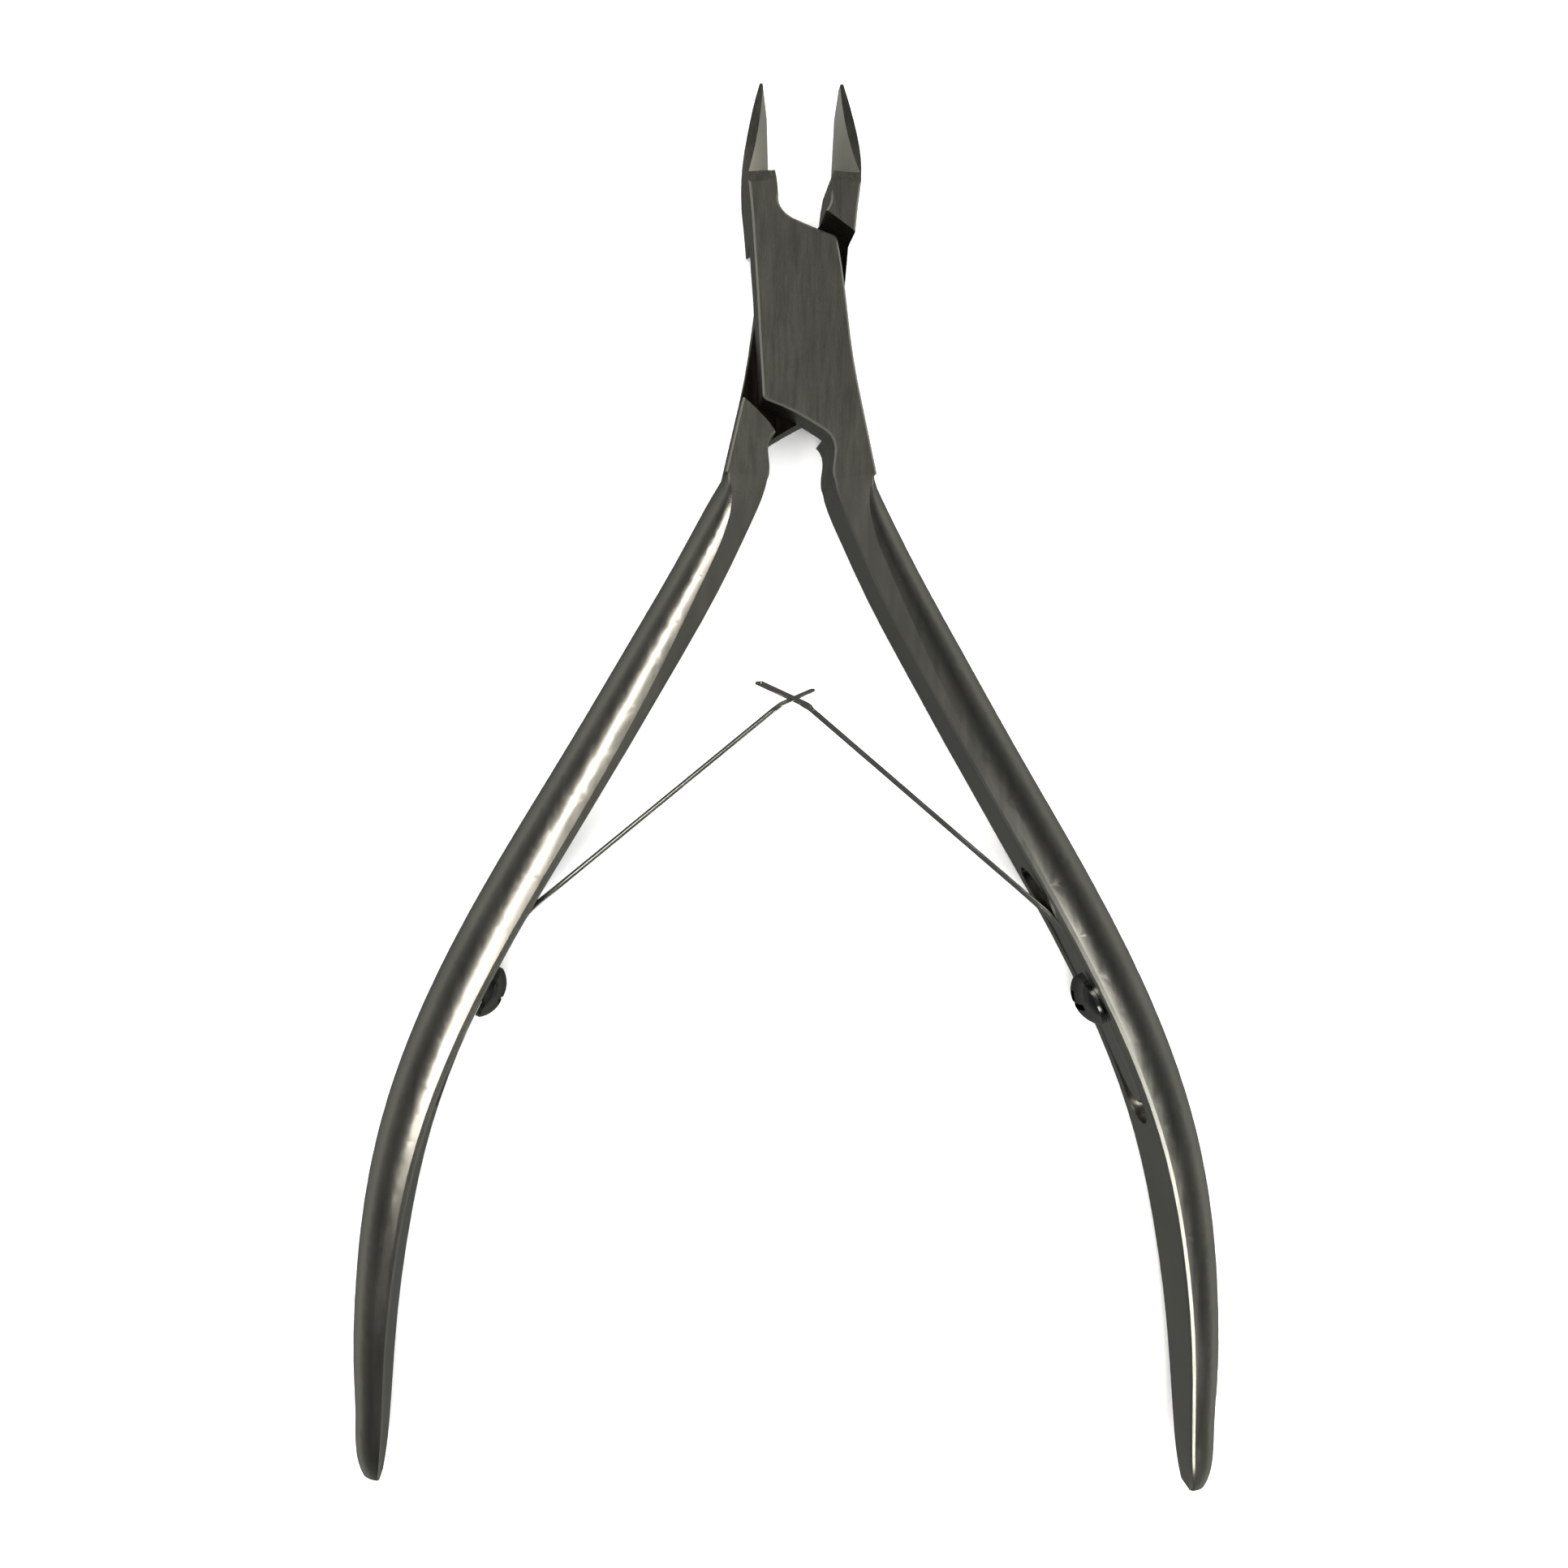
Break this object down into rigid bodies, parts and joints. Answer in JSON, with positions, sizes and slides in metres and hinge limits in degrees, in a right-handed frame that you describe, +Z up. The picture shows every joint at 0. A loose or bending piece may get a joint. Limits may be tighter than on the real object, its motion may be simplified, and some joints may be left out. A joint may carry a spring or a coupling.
{
  "type": "cuticle nipper",
  "caption": "Steel cuticle nipper: two lapped levers on a rivet, tapered half jaws, bowed handles held open by interlocked leaf springs.",
  "frame": {"origin": "the pivot axis where it meets the back face that the nipper rests on", "axes": "+Y towards the blade tips, +X to the right seen from the front, +Z up along the pivot axis, out of the front lap"},
  "size_m": [0.066, 0.1065, 0.0064],
  "materials": {
    "lever_steel": "satin, brushed",
    "rivet_steel": "satin, ground flush",
    "spring_steel": "polished spring steel",
    "screw_steel": "dark polished steel"
  },
  "bodies": {
    "rear_half": {"rear_lever": "lever_steel", "left_leaf_base": "spring_steel", "left_leaf_screw": "screw_steel"},
    "front_half": {"front_lever": "lever_steel", "pivot_rivet": "rivet_steel", "right_leaf_base": "spring_steel", "right_leaf_screw": "screw_steel"},
    "right_spring": {"right_leaf_arm": "spring_steel"},
    "left_spring": {"left_leaf_arm": "spring_steel"}
  },
  "joints": [
    {"name": "jaw_pivot", "type": "hinge", "parent": "rear_half", "child": "front_half", "pos_m": [0, 0, 0.0032], "axis": [0, 0, 1], "range_deg": [-17.8, 2], "stiffness_Nm_per_rad": 0.4},
    {"name": "right_spring_flex", "type": "hinge", "parent": "front_half", "child": "right_spring", "pos_m": [0.01968, -0.04416, 0.0032], "axis": [0, 0, 1], "range_deg": [-12.5, 2]},
    {"name": "left_spring_flex", "type": "hinge", "parent": "rear_half", "child": "left_spring", "pos_m": [-0.01968, -0.04416, 0.0032], "axis": [0, 0, 1], "range_deg": [-2, 12.5]}
  ],
  "couplings": [
    {"joint": "right_spring_flex", "follows": "jaw_pivot", "ratio": 0.66},
    {"joint": "left_spring_flex", "follows": "jaw_pivot", "ratio": -0.66}
  ]
}
